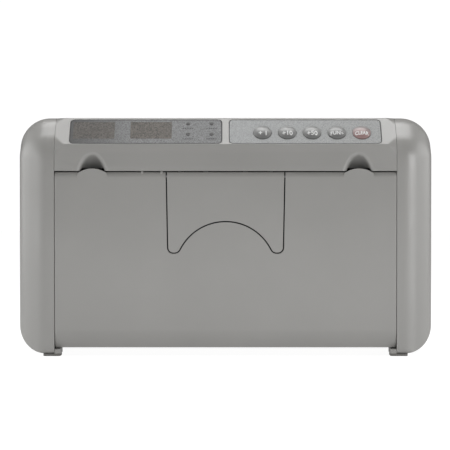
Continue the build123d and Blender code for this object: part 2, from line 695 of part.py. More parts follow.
def display_board():
    """Circuit board under the slope with two digit blocks and five key switches."""
    board = pad(RectangleRounded(2 * PLATE_OUTER_X - 12, 21, 1), -10.2, 1.6)
    parts = [board]
    for x in WINDOW_X:
        parts.append(pad(Pos(x, WINDOW_V) * Rectangle(26, 14), -8.6, 6.6))
    for x in KEY_X:
        parts.append(pad(Pos(x, KEY_V) * Rectangle(6, 6), -8.6, 2.8))
    return parts


# ---------------------------------------------------------------- frame
def side_plate():
    """Right steel plate that holds every shaft and the cover's hinge pin."""
    outline = polygon(
        [
            (HINGE_Y, 15.2),
            (-48, 15.2),
            (-43, 8.6),
            (58, 8.6),
            (61, 40),
            (61, 130),
            (50, 160),
            (-28, 160),
            (-43, 146),
            (-43, 40),
            (-50, 24),
            (HINGE_Y, 17.6),
        ],
        [0, 0, 0, 1, 6, 6, 4, 4, 4, 8, 6, 0],
    )
    nose = Pos(HINGE_Y, HINGE_Z) * Circle(3.4)
    body = prism_x(outline, PLATE_IN, PLATE_OUT) + prism_x(nose, PLATE_IN, PLATE_OUT)
    body = body - cyl_x((HINGE_Y, HINGE_Z), 1.5, PLATE_IN - 1, PLATE_OUT + 1)
    for shaft in (FEED, TRANSPORT, STACKER, PICKUP):
        body = body - cyl_x(shaft, BEARING_R, PLATE_IN - 1, PLATE_OUT + 1)
    body = body - cyl_x(MOTOR, 6.2, PLATE_IN - 1, PLATE_OUT + 1)
    tab = box(PLATE_IN - 11, PLATE_IN, -20, 0, 8.6, 10.1) + box(PLATE_IN - 11, PLATE_IN, 40, 56, 8.6, 10.1)
    window = polygon([(22, 72), (22, 94), (44, 94), (44, 72)], 5)
    return body + tab - prism_x(window, PLATE_IN - 1, PLATE_OUT + 1)


def tie_rods():
    """Cross rods that hold the two side plates apart."""
    return [cyl_x(spot, 3.0, -PLATE_IN, PLATE_IN) for spot in ((44, 108), (14, 70), (6, 18))]


def bearings():
    """A flanged bush at each end of each shaft."""
    bushes = []
    fitted = ((FEED, SHAFT_R), (TRANSPORT, SHAFT_R), (STACKER, SHAFT_R), (PICKUP, THIN_SHAFT_R))
    for shaft, radius in fitted:
        bush = cyl_x(shaft, BEARING_R, PLATE_IN, PLATE_OUT)
        bush = bush + cyl_x(shaft, BEARING_R + 1.2, PLATE_IN - 1.2, PLATE_IN)
        bushes += both_sides(bush - cyl_x(shaft, radius + FIT, PLATE_IN - 3, PLATE_OUT + 3))
    return bushes


def front_guide():
    """Upper front guide: an outer panel, ribs, and an inner liner with clips for the pinch rollers."""
    body = box(-PLATE_IN, PLATE_IN, -46, -44, 68, 130.6)
    body = body + box(-100, 100, -46, -38, 128.6, 130.6)
    lip = polygon([(-46, 68), (-46, 71), (-44, 71), (-40.4, 64.4), (-42, 63.4)], 0)
    body = body + prism_x(lip, -96, 96)
    liner_y = FEED[0] - FEED_R - 3
    liner = box(-96, 96, liner_y - 1.5, liner_y, 66, FEED[1])
    bend = Pos(*FEED) * (Circle(FEED_R + 4.5) - Circle(FEED_R + 3))
    sector = make_face(Polyline(FEED, (FEED[0] - 60, FEED[1]), (FEED[0] - 60, FEED[1] + 34), close=True))
    liner = liner + prism_x(bend & sector, -96, 96)
    for x in (-84, -18, 18, 84):
        liner = liner + box(x - 0.8, x + 0.8, -44.5, liner_y - 1, 74, 108)
    for x in (-TRANSPORT_X, TRANSPORT_X):
        liner = liner - box(x - 13, x + 13, liner_y - 4, -20, 60, 85)
    for x in (-SENSOR_X, SENSOR_X):
        liner = liner - Pos(x, liner_y, SENSOR_Z) * Rot(90, 0, 0) * Cylinder(1.6, 8)
    for x in (-FEED_X, FEED_X):
        liner = liner - cyl_x(RETARD, RETARD_R + 2, x - 12.5, x + 12.5)
    body = body + liner
    for x in (-TRANSPORT_X, TRANSPORT_X):
        for x0 in (x - 12.2, x + 9.2):
            clip = box(x0, x0 + 3, -44.5, PINCH[0] - 0.5, 72, 80) + cyl_x(PINCH, 4.0, x0, x0 + 3)
            body = body + clip - cyl_x(PINCH, 2.0 + FIT, x0 - 1, x0 + 4)
    for end in both_sides(box(99.7, PLATE_IN, -44.2, -36, 96, 128)):
        body = body + end
    return body


def stacker_plate():
    """Lower stripper plate with open slots for the stacker wheels."""
    body = box(-PLATE_IN, PLATE_IN, -42, -40.2, 10, 56)
    for x in (-WHEEL_X, WHEEL_X):
        body = body - box(x - 8, x + 8, -44, -38, 14, 60)
    for end in both_sides(box(99.7, PLATE_IN, -41, -33, 12, 56)):
        body = body + end
    edges = [e for e in body.edges() | Axis.X if e.center().Z > 55.9 and e.center().Y < -41.9]
    return fillet(edges, 0.8)


# ---------------------------------------------------------------- rollers and shafts
def shaft(centre, radius, x0, x1, hub_r, hubs, hub_w):
    """A shaft with moulded hubs for its tyres."""
    body = cyl_x(centre, radius, x0, x1)
    for x in hubs:
        body = body + cyl_x(centre, hub_r, x - hub_w / 2, x + hub_w / 2)
    return body


def tyres(centre, inner, outer, places, width, grooves):
    """Rubber tyres with shallow grooves."""
    rings = []
    for x in places:
        ring = cyl_x(centre, outer, x - width / 2, x + width / 2)
        for i in range(grooves):
            at = x - width / 2 + width * (i + 1) / (grooves + 1)
            groove = cyl_x(centre, outer + 1, at - 0.5, at + 0.5)
            ring = ring - (groove - cyl_x(centre, outer - 0.8, at - 1, at + 1))
        rings.append(ring - cyl_x(centre, inner, x - width, x + width))
    return rings


def pinch_rollers():
    """Two idlers with stub axles that snap into the front guide."""
    rollers = []
    for x in (-TRANSPORT_X, TRANSPORT_X):
        roller = cyl_x(PINCH, PINCH_R, x - 8, x + 8) + cyl_x(PINCH, 2.0, x - 12, x + 12)
        rollers.append(roller)
    return rollers


def retard_bracket():
    """Channel that hangs from the top on the adjusting stem and carries the retard rollers."""
    y, z = RETARD
    body = box(-38, 38, y - 9, y + 8, z + 12.2, z + 14)
    for x in (-FEED_X, FEED_X):
        for x0 in (x - 11, x + 8.8):
            ear = box(x0, x0 + 2.2, y - 5, y + 5, z, z + 13) + cyl_x((y, z), 5.0, x0, x0 + 2.2)
            body = body + ear - cyl_x((y, z), 2.0, x0 - 1, x0 + 3)
    for end in both_sides(box(36, PLATE_IN, y - 3, y + 3, z + 12.2, z + 14)):
        body = body + end
    return body - Pos(0, KNOB_Y, z + 13) * Cylinder(2.0 + FIT, 10)


def retard_rollers():
    """Two grooved retard rollers on stub axles."""
    rollers = []
    for x in (-FEED_X, FEED_X):
        roller = cyl_x(RETARD, RETARD_R, x - 7, x + 7) + cyl_x(RETARD, 1.98, x - 10.8, x + 10.8)
        rollers.append(roller)
    return rollers


def stacker_wheel(x):
    """Fan wheel: curved fingers that catch each note and lay it in the pocket."""
    count, hub_r, finger_t, bow = 10, 10.0, 1.7, 20.0
    reach = STACKER_R - 0.2
    lag = math.radians(-62)  # the tips trail, so that the slots open upwards at the front
    tip = (reach * math.cos(lag), reach * math.sin(lag))
    finger = trace(RadiusArc((hub_r - 2, 0), tip, bow), finger_t)
    face = Circle(hub_r)
    for i in range(count):
        face = face + Rot(0, 0, 360 * i / count) * finger
    face = face & Circle(STACKER_R)
    lighten = [Rot(0, 0, 60 * i) * Pos(7.2, 0) * Circle(1.1) for i in range(6)]
    return prism_x(Pos(*STACKER) * (face - Circle(SHAFT_R) - lighten), x - 6, x + 6)


# ---------------------------------------------------------------- drive
def pulley(centre, grooves, bore, side):
    """A flanged pulley on one side; grooves is a list of (layer, radius)."""
    body = None
    for layer, radius in grooves:
        drum = cyl_x(centre, radius, layer - 0.4, layer + BELT_W + 0.4)
        for at in (layer - 0.4 - FLANGE_T, layer + BELT_W + 0.4):
            drum = drum + cyl_x(centre, radius + PULLEY_FLANGE, at, at + FLANGE_T)
        body = drum if body is None else body + drum
    if len(grooves) > 1:
        body = body + cyl_x(centre, 6.0, grooves[0][0], grooves[1][0])
    if bore:
        body = body - cyl_x(centre, bore, 90, 130)
    return body if side > 0 else mirror(body, about=Plane.YZ)


def belt(a, a_r, b, b_r, layer, side):
    """A flat belt round two pulleys."""

    def loop(grow):
        edges = (Pos(*a) * Circle(a_r + grow)).edges() + (Pos(*b) * Circle(b_r + grow)).edges()
        return make_hull(edges)

    outside = prism_x(loop(BELT_FIT + BELT_T), layer, layer + BELT_W)
    band = outside - prism_x(loop(BELT_FIT), layer - 1, layer + BELT_W + 1)
    return band if side > 0 else mirror(band, about=Plane.YZ)


def motor():
    """Drive motor with its front boss and terminal cover."""
    body = cyl_x(MOTOR, 17.0, 48, 100) + cyl_x(MOTOR, 6.0, 100, PLATE_OUT - 0.2)
    body = fillet(body.faces().sort_by(Axis.X)[0].edges(), 2.0)
    return body + cyl_x(MOTOR, 5.0, 44, 49) - cyl_x(MOTOR, 2.5 + FIT, 94, 104)


def motor_pulley():
    """Pulley with the motor shaft's free end."""
    return pulley(MOTOR, [(LAYER_A, MOTOR_PULLEY_R)], 0, 1) + cyl_x(MOTOR, 2.5, 95, 112.5)


def encoder_disc():
    """Slotted disc on the transport shaft that times the notes."""
    face = Circle(13.0) - Circle(SHAFT_R)
    slots = [Rot(0, 0, 15 * i) * Pos(11.0, 0) * Rectangle(2.4, 1.0) for i in range(24)]
    return mirror(prism_x(Pos(*TRANSPORT) * (face - slots), 116.0, 117.0), about=Plane.YZ)


def sensors():
    """Encoder fork, note sensors in front of and behind the chute, and the hopper sensor."""
    y, z = TRANSPORT
    fork = box(-120, -113, y - 19, y - 8.5, z - 4, z + 4) - box(-117.6, -115.4, y - 14.6, y, z - 5, z + 5)
    notes, rear = [], []
    for x in (-SENSOR_X, SENSOR_X):
        notes.append(box(x - 5, x + 5, -38.5, FEED[0] - FEED_R - 4.5, SENSOR_Z - 4, SENSOR_Z + 4))
        rear.append(box(x - 5, x + 5, FEED[0] - FEED_R + 2.9, -21.5, SENSOR_Z - 4, SENSOR_Z + 4))
    hopper = box(-6, 6, 22, 30, 124, 132.5)
    return [fork, *notes, *rear, hopper]


# ---------------------------------------------------------------- electrics
def main_board():
    """Control board at the rear with its larger components."""
    parts = [box(-36, 40, 60, 61.6, 66, 132)]
    parts.append(box(-20, 0, 56, 60, 92, 112))
    for i in range(4):
        parts.append(box(-30 + 16 * i, -20 + 16 * i, 52, 60, 70, 76))
    for i in range(3):
        can = Pos(10 + 11 * i, 54.5, 100) * Rot(90, 0, 0) * Cylinder(4.2, 11)
        parts.append(can)
    return parts


def power_supply():
    """Transformer on its lamination stack with two mounting feet."""
    core = box(-92, -48, 18, 44, 10.5, 46)
    winding = box(-83, -57, 12, 50, 17, 40)
    feet = box(-98, -42, 22, 40, 8.5, 11)
    return core + winding + feet


def power_inlet():
    """Mains module in the rear cover: the inlet's shroud with three blades, and the switch's housing."""
    inlet = box(-92.8, -65.2, 55, REAR_Y - 0.1, 34.2, 55.8)
    well = extrude(Plane.XZ.offset(-REAR_Y - 2) * (Pos(-79, 45) * RectangleRounded(22, 15, 3)), amount=14)
    inlet = inlet - well
    for x, z in ((-85, 43), (-79, 47), (-73, 43)):
        inlet = inlet + box(x - 1, x + 1, 57, 66, z - 2, z + 2)
    x, y, z = SWITCH
    housing = box(x - 8.4, x + 8.4, 53, REAR_Y - 0.1, z - 11.8, z + 11.8)
    housing = housing - box(x - 6.8, x + 6.8, 55, REAR_Y + 1, z - 10.2, z + 10.2)
    for x0, x1 in ((x - 7, x - 4.2), (x + 4.2, x + 7)):
        housing = housing + cyl_x((y, z), 1.5, x0, x1)
    return [inlet, housing]


def power_switch():
    """Rocker of the mains switch, tilted to off, turning on two stubs of its housing."""
    outline = polygon([(-2.2, -3), (7.2, -9), (8.6, 0), (7.2, 9), (-2.2, 3)], [1, 1, 0, 1, 1])
    rocker = prism_x(outline, -6.2, 6.2)
    for x0 in (-7.0, 4.0):
        rocker = rocker - cyl_x((0, 0), 1.5 + FIT, x0, x0 + 3)
    return Pos(*SWITCH) * Rot(SWITCH_TILT, 0, 0) * rocker


# ---------------------------------------------------------------- build
def build():
    os.makedirs("parts", exist_ok=True)
    right_cheek = cheek()
    write("right_cheek", right_cheek)
    write("left_cheek", mirror(right_cheek, about=Plane.YZ))
    write("top_cover", top_cover())
    write("rear_cover", rear_cover())
    write("base_plate", base_plate())
    write("rubber_feet", rubber_feet())
    write("case_screws", case_screws())
    write("front_cover", front_cover())
    write("stop_flap", stop_flap())
    write("flap_hinge_pin", cyl_x((FLAP_Y, FLAP_Z), 1.0, -FLAP_TOP_HALF - 5.5, FLAP_TOP_HALF + 5.5))
    write("flap_springs", flap_springs())
    write("hopper_lid", hopper_lid())
    write("hinge_pins", hinge_pins())
    write("feed_tray", feed_tray())
    guide = note_guide()
    write("right_note_guide", guide)
    write("left_note_guide", mirror(guide, about=Plane.YZ))
    write("adjust_knob", adjust_knob())

    write("display_plate", display_plate())
    write("display_windows", display_windows())
    write("indicator_leds", indicator_leds())
    write("key_plate", key_plate())
    for name, x in zip(KEY_NAMES, KEY_X):
        write(name, key(x))
    write("display_board", display_board())

    plate = side_plate()
    write("right_side_plate", plate)
    write("left_side_plate", mirror(plate, about=Plane.YZ))
    write("tie_rods", tie_rods())
    write("bearings", bearings())
    write("front_guide", front_guide())
    write("stacker_plate", stacker_plate())

    feed_places = (-FEED_X, FEED_X)
    transport_places = (-TRANSPORT_X, TRANSPORT_X)
    end_a = LAYER_A + BELT_W + 2
    end_b = LAYER_B + BELT_W + 1.4
    write("pickup_shaft", shaft(PICKUP, THIN_SHAFT_R, -end_b, 104, PICKUP_R - TYRE_T, feed_places, 14))
    write("pickup_tyres", tyres(PICKUP, PICKUP_R - TYRE_T, PICKUP_R, feed_places, 14, 3))
    write("feed_shaft", shaft(FEED, SHAFT_R, -end_b, 104, FEED_R - TYRE_T, feed_places, 16))
    write("feed_tyres", tyres(FEED, FEED_R - TYRE_T, FEED_R, feed_places, 16, 3))
    core_r = TRANSPORT_R - TYRE_T
    write("transport_shaft", shaft(TRANSPORT, SHAFT_R, -end_b, end_b, core_r, transport_places, 14))
    write("transport_tyres", tyres(TRANSPORT, core_r, TRANSPORT_R, transport_places, 14, 1))
    write("pinch_rollers", pinch_rollers())
    write("retard_bracket", retard_bracket())
    write("retard_rollers", retard_rollers())
    write("stacker_shaft", shaft(STACKER, SHAFT_R, -104, end_b, 6.0, (), 1))
    write("stacker_wheels", [stacker_wheel(-WHEEL_X), stacker_wheel(WHEEL_X)])

    write("motor", motor())
    write("motor_pulley", motor_pulley())
    driven = pulley(TRANSPORT, [(LAYER_A, TRANSPORT_DRIVE_R), (LAYER_B, TRANSPORT_OUT_R)], SHAFT_R, 1)
    output = pulley(TRANSPORT, [(LAYER_A, TRANSPORT_OUT_R)], SHAFT_R, -1)
    write("transport_pulleys", [driven, output])
    write("stacker_pulley", pulley(STACKER, [(LAYER_B, STACKER_PULLEY_R)], SHAFT_R, 1))
    write("feed_pulley", pulley(FEED, [(LAYER_A, FEED_IN_R), (LAYER_B, FEED_OUT_R)], SHAFT_R, -1))
    write("pickup_pulley", pulley(PICKUP, [(LAYER_B, PICKUP_PULLEY_R)], THIN_SHAFT_R, -1))
    write("motor_belt", belt(MOTOR, MOTOR_PULLEY_R, TRANSPORT, TRANSPORT_DRIVE_R, LAYER_A, 1))
    write("stacker_belt", belt(TRANSPORT, TRANSPORT_OUT_R, STACKER, STACKER_PULLEY_R, LAYER_B, 1))
    write("feed_belt", belt(TRANSPORT, TRANSPORT_OUT_R, FEED, FEED_IN_R, LAYER_A, -1))
    write("pickup_belt", belt(FEED, FEED_OUT_R, PICKUP, PICKUP_PULLEY_R, LAYER_B, -1))
    write("encoder_disc", encoder_disc())
    write("sensors", sensors())

    write("main_board", main_board())
    write("power_supply", power_supply())
    write("power_inlet", power_inlet())
    write("power_switch", power_switch())


build()
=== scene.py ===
import json
import math

import bmesh
import bpy
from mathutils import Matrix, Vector


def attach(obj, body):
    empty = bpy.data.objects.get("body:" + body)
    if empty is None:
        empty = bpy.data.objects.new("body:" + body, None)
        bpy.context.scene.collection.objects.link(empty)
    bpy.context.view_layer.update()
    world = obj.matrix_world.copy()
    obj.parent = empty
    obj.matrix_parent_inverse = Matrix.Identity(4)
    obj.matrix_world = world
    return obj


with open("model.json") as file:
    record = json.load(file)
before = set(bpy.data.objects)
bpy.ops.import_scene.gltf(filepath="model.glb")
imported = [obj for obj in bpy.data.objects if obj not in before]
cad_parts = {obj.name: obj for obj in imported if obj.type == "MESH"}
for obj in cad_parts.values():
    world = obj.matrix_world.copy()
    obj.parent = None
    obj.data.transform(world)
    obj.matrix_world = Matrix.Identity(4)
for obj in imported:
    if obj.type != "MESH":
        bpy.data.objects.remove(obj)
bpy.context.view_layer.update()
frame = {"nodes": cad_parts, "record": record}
nodes = frame["nodes"]
scene = bpy.context.scene
scene.view_settings.view_transform = "Standard"

MM = 0.001

# control slope: origin and directions, in millimetres
SLOPE_O = Vector((0.0, -60.15, 162.15))
SLOPE_U = Vector((1.0, 0.0, 0.0))
SLOPE_V = Vector((0.0, math.sqrt(0.5), math.sqrt(0.5)))
SLOPE_N = Vector((0.0, -math.sqrt(0.5), math.sqrt(0.5)))

# keys on the slope, in millimetres
KEY_RADIUS = 6.5
KEY_RIM = 0.5
KEY_DOME = 2.1
KEY_BALL = (KEY_RADIUS**2 + KEY_DOME**2) / (2 * KEY_DOME)  # radius of the dome's sphere
KEY_V = -1.7
KEY_FIRST_X = 26.7
KEY_PITCH = 17.9
LEGEND_V = -2.4  # the legends sit on the lower half of the dome
LEGEND_BOLD = 0.13  # how far the letters' outlines are pushed out
LEGEND_EDGE = 0.5  # longer edges are divided, so that the letters follow the dome
INK_RISE = 0.03  # printed ink above the surface that carries it
FILM_N = -0.1  # the label plates' faces, just below the slope

# indicators on the display plate, in millimetres
INDICATOR_U = (-27.2, -10.1)
INDICATOR_V = (7.8, -3.2)
MARK_DROP = 4.9  # from an indicator to the marks under it
MARK_PITCH = 1.6
MARK_SIZES = ((1.3, 0.8), (0.9, 1.3), (1.4, 0.8), (0.9, 1.3), (1.2, 0.8))

# outline of the label plates, where a painted shadow line marks the gap, in millimetres: inner and outer
# end, foot and top
LABEL = (2.6, 112.4, -13.0, 12.0)
LABEL_CORNER = 3.2
CORNER_STEPS = 6

# darker tone in the thumb scoops, in metres: it stands for shade that the plain shape doesn't give
SCOOP_SHADE_DEPTH = (-0.0694, -0.0655)  # y: none, full
SCOOP_SHADE_HEIGHT = (0.1375, 0.1450)  # z: full, none
SCOOP_SHADE_END = (-0.055, -0.050)  # y: full, none


# ---------------------------------------------------------------- node helpers
class Nodes:
    """A short way to write the nodes of one tree, which starts empty."""

    def __init__(self, tree):
        self.tree = tree
        self.tree.nodes.clear()

    def link(self, a, b):
        self.tree.links.new(a, b)

    def node(self, kind, **values):
        made = self.tree.nodes.new(kind)
        for key, value in values.items():
            setattr(made, key, value)
        return made

    def span(self, value, low, high, to_low, to_high, curve="LINEAR"):
        """Map low..high to to_low..to_high, and hold the ends beyond it."""
        made = self.node("ShaderNodeMapRange", interpolation_type=curve)
        made.inputs["From Min"].default_value = low
        made.inputs["From Max"].default_value = high
        made.inputs["To Min"].default_value = to_low
        made.inputs["To Max"].default_value = to_high
        self.link(value, made.inputs["Value"])
        return made.outputs["Result"]

    def math(self, how, a, b):
        made = self.node("ShaderNodeMath", operation=how)
        for socket, value in zip(made.inputs, (a, b)):
            if isinstance(value, (int, float)):
                socket.default_value = value
            else:
                self.link(value, socket)
        return made.outputs[0]


class Graph(Nodes):
    """The nodes of one material, around a Principled BSDF."""

    def __init__(self, name):
        self.material = bpy.data.materials.new(name)
        self.material.use_nodes = True
        super().__init__(self.material.node_tree)
        self.bsdf = self.node("ShaderNodeBsdfPrincipled")
        out = self.node("ShaderNodeOutputMaterial")
        self.link(self.bsdf.outputs["BSDF"], out.inputs["Surface"])
        self.coords = self.node("ShaderNodeTexCoord").outputs["Object"]

    def noise(self, scale, detail=2.0, rough=0.5, stretch=None):
        made = self.node("ShaderNodeTexNoise")
        made.inputs["Scale"].default_value = scale
        made.inputs["Detail"].default_value = detail
        made.inputs["Roughness"].default_value = rough
        source = self.coords
        if stretch:
            mapping = self.node("ShaderNodeMapping")
            mapping.inputs["Scale"].default_value = stretch
            self.link(self.coords, mapping.inputs["Vector"])
            source = mapping.outputs["Vector"]
        self.link(source, made.inputs["Vector"])
        return made.outputs["Fac"]

    def cells(self, scale):
        """A random grey for each cell of a Voronoi pattern."""
        made = self.node("ShaderNodeTexVoronoi")
        made.inputs["Scale"].default_value = scale
        self.link(self.coords, made.inputs["Vector"])
        grey = self.node("ShaderNodeRGBToBW")
        self.link(made.outputs["Color"], grey.inputs[0])
        return grey.outputs[0]

    def spread(self, noise, to_low, to_high):
        """Map the range where most of a noise texture's values lie."""
        return self.span(noise, 0.3, 0.7, to_low, to_high)

    def mix_rgb(self, factor, a, b):
        made = self.node("ShaderNodeMix", data_type="RGBA")
        self.link(factor, made.inputs[0])
        for socket, value in ((made.inputs[6], a), (made.inputs[7], b)):
            if isinstance(value, tuple):
                socket.default_value = (*value, 1.0)
            else:
                self.link(value, socket)
        return made.outputs[2]

    def axis(self, which):
        made = self.node("ShaderNodeSeparateXYZ")
        self.link(self.coords, made.inputs[0])
        return made.outputs[which]

    def bump(self, height, strength, distance, under=None):
        made = self.node("ShaderNodeBump")
        made.inputs["Strength"].default_value = strength
        made.inputs["Distance"].default_value = distance
        self.link(height, made.inputs["Height"])
        if under is not None:
            self.link(under, made.inputs["Normal"])
        return made.outputs["Normal"]

    def worn_edges(self, low, high):
        made = self.node("ShaderNodeNewGeometry")
        return self.span(made.outputs["Pointiness"], low, high, 0.0, 1.0)

    def set(self, **values):
        names = {
            "metallic": "Metallic",
            "coat": "Coat Weight",
            "coat_rough": "Coat Roughness",
            "specular": "Specular IOR Level",
        }
        for key, value in values.items():
            self.bsdf.inputs[names[key]].default_value = value


def shade(colour, k):
    return tuple(min(1.0, c * k) for c in colour)


def painted_scoop_shade(g):
    """How much painted shade a point gets: most deep in the thumb scoops, none on the fascia and slope."""
    deep = g.span(g.axis("Y"), *SCOOP_SHADE_DEPTH, 0.0, 1.0)
    low = g.span(g.axis("Z"), *SCOOP_SHADE_HEIGHT, 1.0, 0.0)
    front = g.span(g.axis("Y"), *SCOOP_SHADE_END, 1.0, 0.0)
    return g.math("MULTIPLY", g.math("MULTIPLY", deep, low), front)


def moulded_plastic(
    name, colour, rough=0.5, grain=2600.0, depth=0.00003, wear=0.10, specular=0.5, darker=None
):
    """Spark-textured moulded plastic: fine grain, cloudy tone, handling sheen and paler worn edges.

    The case's roughness stays at 0.29 or more: at 0.27 it rendered with small blotches.
    """
    g = Graph(name)
    cloud = g.noise(14.0, 3.0, 0.55)
    fleck = g.noise(grain * 0.45, 2.0, 0.6)
    base = g.mix_rgb(g.spread(cloud, 0.0, 1.0), shade(colour, 0.972), shade(colour, 1.028))
    base = g.mix_rgb(g.span(fleck, 0.25, 0.75, 0.0, 0.12), base, shade(colour, 0.86))
    edge = g.math("MULTIPLY", g.worn_edges(0.515, 0.60), wear)
    base = g.mix_rgb(edge, base, shade(colour, 1.35))
    # painted shade: where the mask is set, the base colour darkens towards 0.4 of the colour
    if darker:
        base = g.mix_rgb(darker(g), base, shade(colour, 0.4))
    g.link(base, g.bsdf.inputs["Base Color"])
    smudge = g.noise(38.0, 4.0, 0.6)
    g.link(g.spread(smudge, rough - 0.03, rough + 0.07), g.bsdf.inputs["Roughness"])
    coarse = g.bump(g.noise(grain * 0.3, 2.0, 0.5), 0.12, depth * 2)
    g.link(g.bump(g.noise(grain, 2.0, 0.6), 0.25, depth, coarse), g.bsdf.inputs["Normal"])
    g.set(specular=specular)
    return g.material


def metal(name, colour, rough=0.3, stretch=(1.0, 60.0, 60.0), metallic=1.0):
    """Plated or ground metal with fine directional marks and slightly dulled patches."""
    g = Graph(name)
    line = g.noise(90.0, 4.0, 0.7, stretch)
    patch = g.noise(25.0, 3.0, 0.6)
    base = g.mix_rgb(line, shade(colour, 0.88), shade(colour, 1.08))
    base = g.mix_rgb(g.span(patch, 0.4, 0.8, 0.0, 0.35), base, shade(colour, 0.72))
    g.link(base, g.bsdf.inputs["Base Color"])
    dull = g.math("ADD", g.spread(line, -0.05, 0.08), g.spread(patch, rough - 0.04, rough + 0.08))
    g.link(dull, g.bsdf.inputs["Roughness"])
    g.link(g.bump(line, 0.35, 0.00001), g.bsdf.inputs["Normal"])
    g.set(metallic=metallic)
    return g.material


def rubber(name, colour, rough=0.75, grain=1800.0):
    """Ground rubber: matte, speckled with fine dust."""
    g = Graph(name)
    dust = g.noise(grain * 0.25, 4.0, 0.7)
    base = g.mix_rgb(g.span(dust, 0.45, 0.75, 0.0, 0.5), colour, shade(colour, 1.9))
    g.link(base, g.bsdf.inputs["Base Color"])
    g.link(g.spread(dust, rough - 0.08, rough + 0.1), g.bsdf.inputs["Roughness"])
    g.link(g.bump(g.noise(grain, 3.0, 0.7), 0.6, 0.00005), g.bsdf.inputs["Normal"])
    g.set(specular=0.35)
    return g.material


def silver_film(name, left, right, reach, sparkle):
    """Satin silver label film: a tone that runs from left to right, painted light and shade across the
    film, under fine metal flakes.
    """
    rough = 0.36
    g = Graph(name)
    # painted light and shade: the tone runs from the left colour to the right colour across the film
    across = g.span(g.axis("X"), *reach, 0.0, 1.0)
    tone = g.mix_rgb(across, left, right)
    flake = g.cells(1500.0)
    sparkled = g.node("ShaderNodeMix", data_type="RGBA", blend_type="MULTIPLY")
    sparkled.inputs[0].default_value = 1.0
    g.link(tone, sparkled.inputs[6])
    g.link(g.span(flake, 0.15, 0.85, 1.0 - sparkle, 1.0 + sparkle), sparkled.inputs[7])
    g.link(sparkled.outputs[2], g.bsdf.inputs["Base Color"])
    g.link(g.span(flake, 0.1, 0.9, rough - 0.07, rough + 0.12), g.bsdf.inputs["Roughness"])
    g.link(g.bump(g.noise(1900.0, 2.0, 0.6), 0.35, 0.00003), g.bsdf.inputs["Normal"])
    g.set(metallic=0.1, coat=0.15, coat_rough=0.25)
    return g.material


def smoked_window(name):
    """Smoked window with a grainy anti-glare face, with painted shade that makes it a little darker at the
    left.
    """
    g = Graph(name)
    grain = g.cells(1150.0)
    fine = g.noise(2600.0, 3.0, 0.7)
    speck = g.math("ADD", g.math("MULTIPLY", grain, 0.6), g.math("MULTIPLY", fine, 0.4))
    # painted shade: the grain darkens towards the left end of the window
    speck = g.math("ADD", speck, g.span(g.axis("X"), -0.1, -0.045, -0.09, 0.05))
    dark, pale = (0.018, 0.0145, 0.011), (0.135, 0.115, 0.092)
    base = g.mix_rgb(g.span(speck, 0.2, 0.75, 0.0, 1.0), dark, pale)
    g.link(base, g.bsdf.inputs["Base Color"])
    g.link(g.spread(fine, 0.32, 0.46), g.bsdf.inputs["Roughness"])
    g.link(g.bump(fine, 0.3, 0.00003), g.bsdf.inputs["Normal"])
    return g.material


def key_cap(name, upper, lower):
    """Silver-painted key; its colour is painted lighter on the upper part of the dome and darker on the
    lower, as painted light and shade; the red key's lower part is also redder in its own colour.
    """
    g = Graph(name)
    height = g.math("ADD", g.axis("Y"), g.axis("Z"))
    middle = (SLOPE_O.y + SLOPE_O.z + KEY_V * math.sqrt(2)) * MM
    painted_dome_light = g.span(height, middle - 0.006, middle + 0.006, 0.0, 1.0)
    cloud = g.noise(260.0, 3.0, 0.6)
    # painted light and shade: the upper colour on the top of the dome, the lower colour at its foot
    base = g.mix_rgb(painted_dome_light, lower, upper)
    base = g.mix_rgb(g.span(cloud, 0.35, 0.75, 0.0, 0.2), base, shade(upper, 0.75))
    g.link(base, g.bsdf.inputs["Base Color"])
    g.link(g.spread(cloud, 0.36, 0.46), g.bsdf.inputs["Roughness"])
    g.link(g.bump(g.noise(2600.0, 2.0, 0.6), 0.2, 0.00002), g.bsdf.inputs["Normal"])
    g.set(metallic=0.25, coat=0.2, coat_rough=0.3)
    return g.material


def print_ink(name, colour):
    """Screen-printed ink, slightly uneven."""
    g = Graph(name)
    patchy = g.noise(1500.0, 3.0, 0.7)
    base = g.mix_rgb(g.spread(patchy, 0.0, 1.0), shade(colour, 0.9), colour)
    g.link(base, g.bsdf.inputs["Base Color"])
    g.link(g.spread(patchy, 0.47, 0.63), g.bsdf.inputs["Roughness"])
    return g.material


def circuit_board(name):
    """Green solder mask over faint copper tracks, on every face of the board and its parts."""
    g = Graph(name)
    bricks = g.node("ShaderNodeTexBrick")
    bricks.inputs["Scale"].default_value = 160.0
    bricks.inputs["Mortar Size"].default_value = 0.035
    bricks.inputs["Color1"].default_value = (0.012, 0.075, 0.03, 1.0)
    bricks.inputs["Color2"].default_value = (0.016, 0.095, 0.038, 1.0)
    bricks.inputs["Mortar"].default_value = (0.03, 0.16, 0.06, 1.0)
    g.link(g.coords, bricks.inputs["Vector"])
    cloud = g.noise(60.0, 3.0, 0.6)
    base = g.mix_rgb(g.span(cloud, 0.35, 0.8, 0.0, 0.3), bricks.outputs["Color"], (0.01, 0.05, 0.02))
    g.link(base, g.bsdf.inputs["Base Color"])
    g.link(g.spread(cloud, 0.3, 0.45), g.bsdf.inputs["Roughness"])
    g.link(g.bump(bricks.outputs["Fac"], 0.3, 0.00004), g.bsdf.inputs["Normal"])
    return g.material


def lens(name, colour):
    """Small diffusing indicator lens, unlit."""
    g = Graph(name)
    cloud = g.noise(900.0, 2.0, 0.5)
    g.link(g.mix_rgb(cloud, shade(colour, 0.8), shade(colour, 1.15)), g.bsdf.inputs["Base Color"])
    g.link(g.spread(cloud, 0.35, 0.45), g.bsdf.inputs["Roughness"])
    g.set(specular=0.25)
    return g.material


